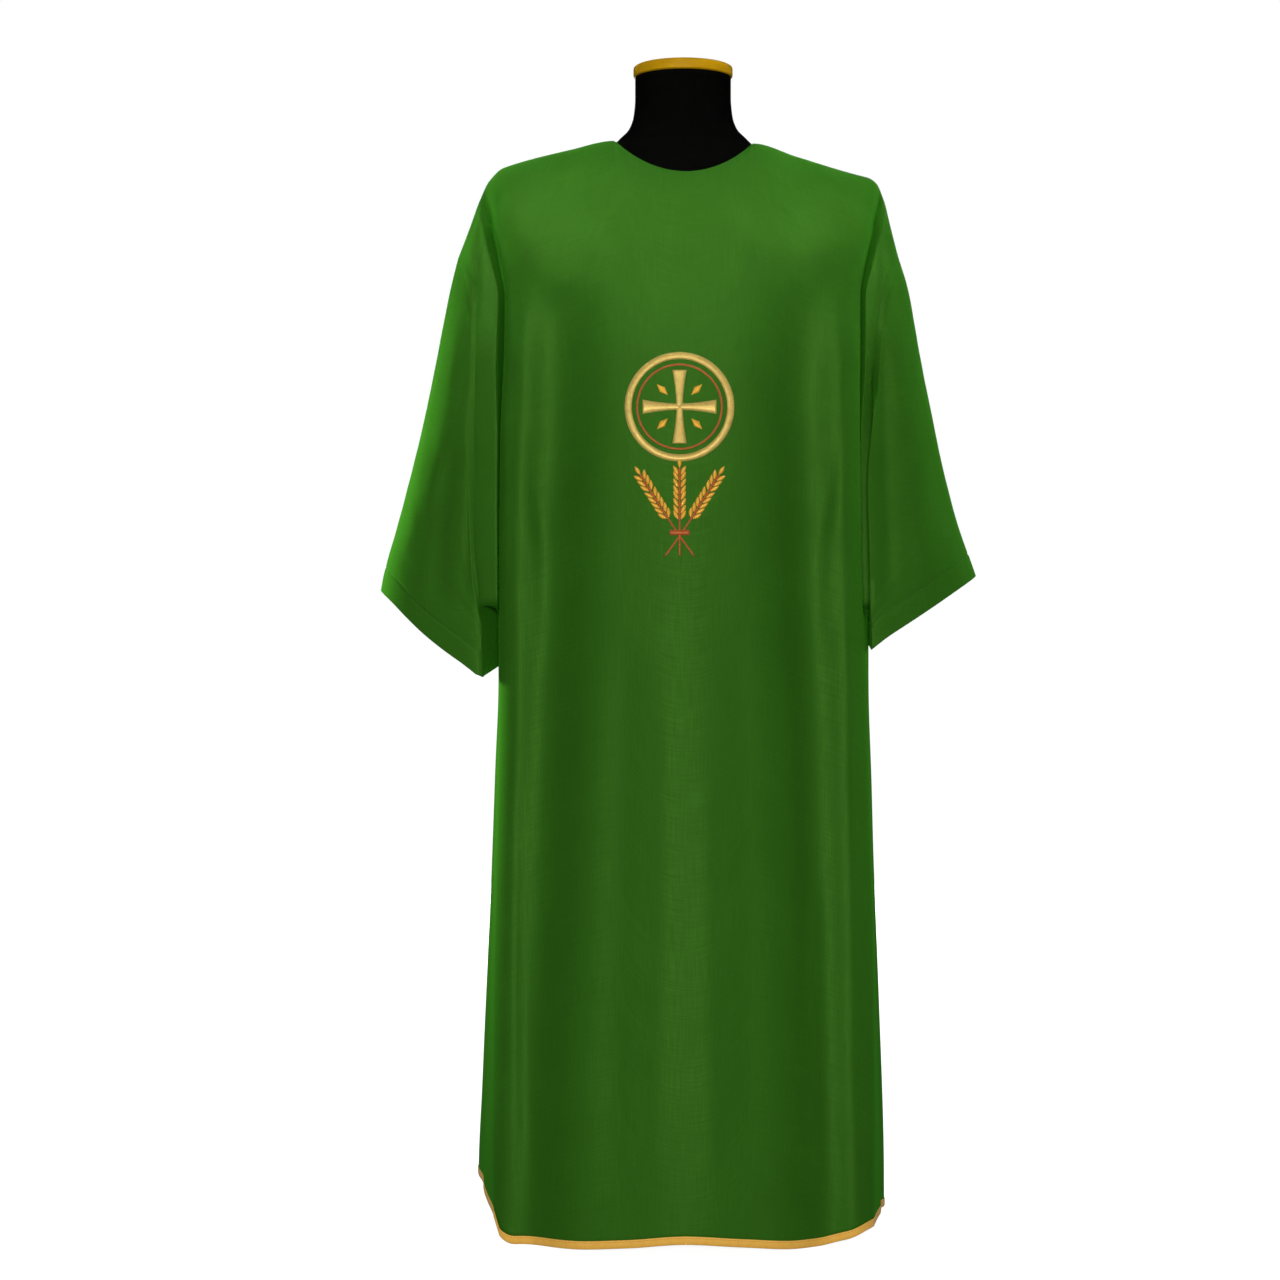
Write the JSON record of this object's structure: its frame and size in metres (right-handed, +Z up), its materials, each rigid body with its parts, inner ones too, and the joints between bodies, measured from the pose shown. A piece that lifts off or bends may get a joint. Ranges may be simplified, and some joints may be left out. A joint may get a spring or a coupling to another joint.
{
  "type": "dalmatic on a dress form",
  "caption": "Hollow dalmatic with wide open sleeves, dropped shoulders, round neckline and gold-bound hem, worn by a limbless dress form on a pole and round base.",
  "frame": {"origin": "centre of the stand base's underside, on the axis of the neck and pole", "axes": "+Z up, -Y out of the garment's front, +X towards the wearer's left"},
  "size_m": [0.689, 0.3964, 1.338],
  "materials": {
    "green_cloth": "matte twill with a faint sheen",
    "gold_binding": "satin",
    "black_jersey": "matte",
    "ochre_cap": "satin",
    "painted_steel": "satin"
  },
  "bodies": {
    "root": {"front": "green_cloth", "back": "green_cloth", "sleeve_right": "green_cloth", "sleeve_left": "green_cloth", "hem_binding_front": "gold_binding", "hem_binding_back": "gold_binding", "form": "black_jersey", "neck_cap": "ochre_cap", "stand_pole": "painted_steel", "stand_base": "painted_steel"}
  },
  "joints": []
}
